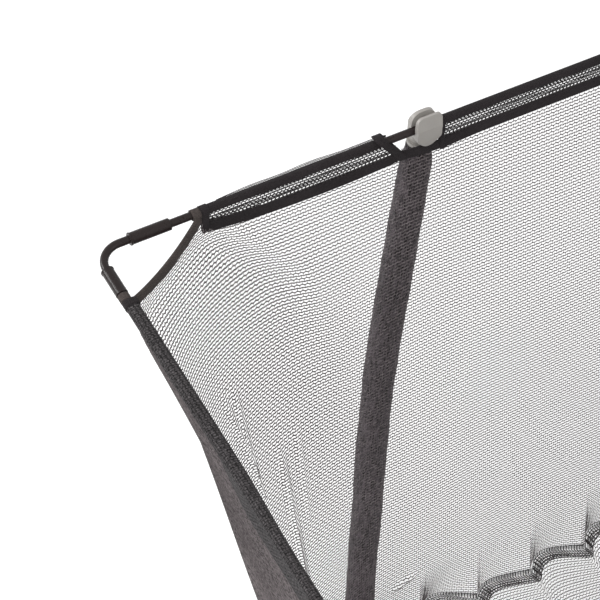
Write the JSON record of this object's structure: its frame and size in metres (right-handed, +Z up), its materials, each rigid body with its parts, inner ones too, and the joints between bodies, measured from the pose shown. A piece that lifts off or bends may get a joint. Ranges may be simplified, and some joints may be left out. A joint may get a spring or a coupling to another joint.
{
  "type": "lawn game net",
  "caption": "Deep mesh bag hung inside a horizontal rectangular rod rim, held at waist height by grey cradle clips on padded poles that swing outward about the rim.",
  "frame": {"origin": "on the ground, under the middle of the rim", "axes": "+X along the long rails, +Y towards the back rail, +Z up"},
  "size_m": [1.413, 1.143, 1.021],
  "materials": {
    "rod_coating": "satin black coating",
    "ferrule_coating": "satin black coating",
    "tape": "woven binding tape",
    "mesh": "knitted polyester mesh",
    "clip_plastic": "moulded, slightly satin",
    "tube_steel": "powder coated",
    "sleeve_fabric": "padded woven cover",
    "foot_rubber": "matt"
  },
  "bodies": {
    "net_frame": {"elbow_back_left": "rod_coating", "elbow_back_right": "rod_coating", "elbow_front_left": "rod_coating", "elbow_front_right": "rod_coating", "ferrules_back_left": "ferrule_coating", "ferrules_back_right": "ferrule_coating", "ferrules_front_left": "ferrule_coating", "ferrules_front_right": "ferrule_coating", "rod_back": "rod_coating", "rod_front": "rod_coating", "rod_left": "rod_coating", "rod_right": "rod_coating", "hem_back_left": "tape", "hem_back_middle": "tape", "hem_back_right": "tape", "hem_front_left": "tape", "hem_front_middle": "tape", "hem_front_right": "tape", "hem_left": "tape", "hem_right": "tape", "binding_back_left": "tape", "binding_back_right": "tape", "binding_front_left": "tape", "binding_front_right": "tape", "net_back": "mesh", "net_front": "mesh", "net_left": "mesh", "net_right": "mesh", "net_corner_back_left": "mesh", "net_corner_back_right": "mesh", "net_corner_front_left": "mesh", "net_corner_front_right": "mesh", "net_floor": "mesh", "seam_back": "tape", "seam_front": "tape", "seam_left": "tape", "seam_right": "tape", "seam_corners": "tape"},
    "leg_back_left": {"clip_back_left": "clip_plastic", "upper_tube_back_left": "tube_steel", "lower_tube_back_left": "tube_steel", "sleeve_back_left": "sleeve_fabric", "foot_back_left": "foot_rubber"},
    "leg_back_right": {"clip_back_right": "clip_plastic", "upper_tube_back_right": "tube_steel", "lower_tube_back_right": "tube_steel", "sleeve_back_right": "sleeve_fabric", "foot_back_right": "foot_rubber"},
    "leg_front_left": {"clip_front_left": "clip_plastic", "upper_tube_front_left": "tube_steel", "lower_tube_front_left": "tube_steel", "sleeve_front_left": "sleeve_fabric", "foot_front_left": "foot_rubber"},
    "leg_front_right": {"clip_front_right": "clip_plastic", "upper_tube_front_right": "tube_steel", "lower_tube_front_right": "tube_steel", "sleeve_front_right": "sleeve_fabric", "foot_front_right": "foot_rubber"}
  },
  "joints": [
    {"name": "back_left_leg_swing", "type": "hinge", "parent": "net_frame", "child": "leg_back_left", "pos_m": [-0.35, 0.5, 1], "axis": [1, 0, 0], "range_deg": [0, 80]},
    {"name": "back_right_leg_swing", "type": "hinge", "parent": "net_frame", "child": "leg_back_right", "pos_m": [0.35, 0.5, 1], "axis": [1, 0, 0], "range_deg": [0, 80]},
    {"name": "front_left_leg_swing", "type": "hinge", "parent": "net_frame", "child": "leg_front_left", "pos_m": [-0.35, -0.5, 1], "axis": [-1, 0, 0], "range_deg": [0, 80]},
    {"name": "front_right_leg_swing", "type": "hinge", "parent": "net_frame", "child": "leg_front_right", "pos_m": [0.35, -0.5, 1], "axis": [-1, 0, 0], "range_deg": [0, 80]}
  ]
}
